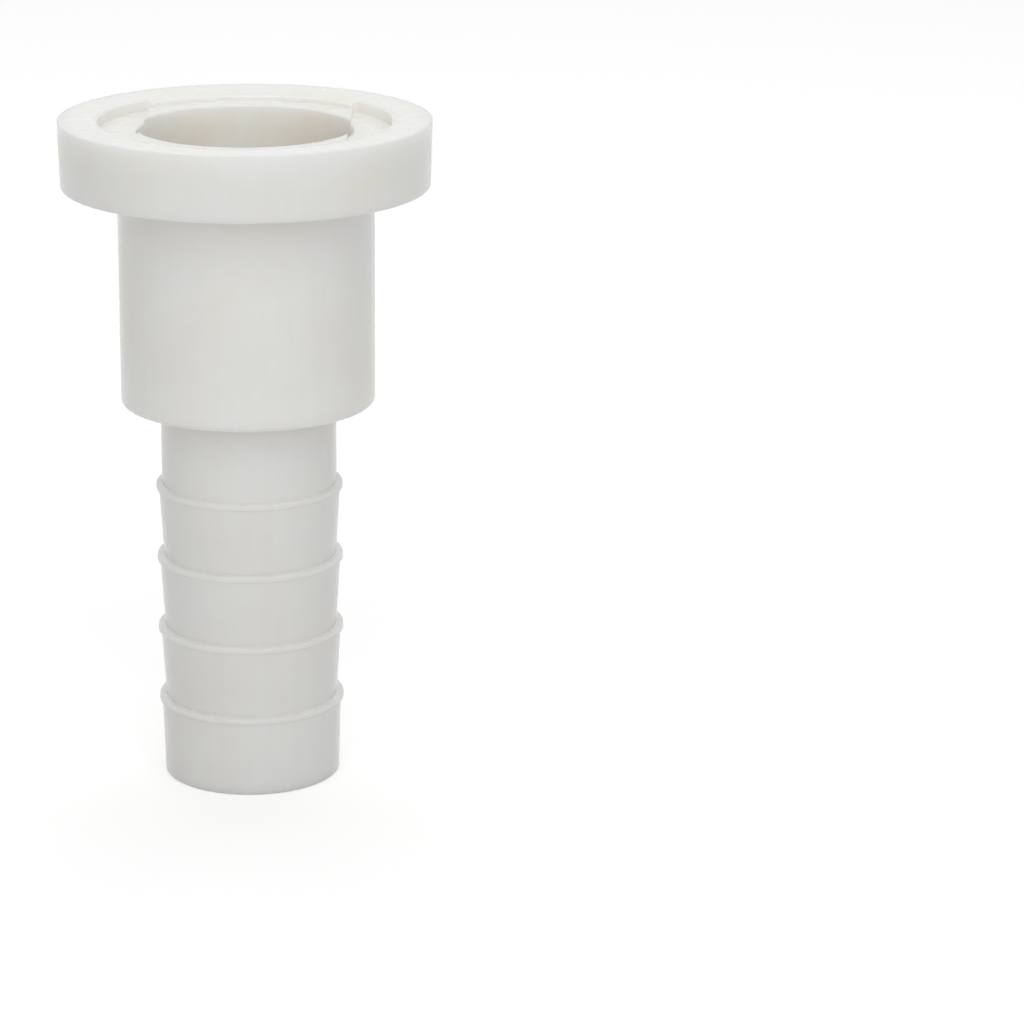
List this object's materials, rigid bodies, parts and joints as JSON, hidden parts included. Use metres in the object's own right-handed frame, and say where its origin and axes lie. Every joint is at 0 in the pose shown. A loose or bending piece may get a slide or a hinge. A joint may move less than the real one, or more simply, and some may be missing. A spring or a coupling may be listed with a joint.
{
  "type": "hose barb connector",
  "caption": "One-piece moulded hose connector: barbed shank with a narrow bore, wider round body, and a flat flange with a recessed face for a gasket and union nut.",
  "frame": {"origin": "on the axis, in the plane of the barb end on which the connector stands", "axes": "+Z along the bore from the barb end towards the flange face, +X towards one of the two pockets in that face"},
  "size_m": [0.0404, 0.0404, 0.0742],
  "materials": {
    "natural_polypropylene": "natural unpigmented polypropylene, milky and slightly translucent, satin as moulded"
  },
  "bodies": {
    "root": {"hose_barb_connector": "natural_polypropylene"}
  },
  "joints": []
}
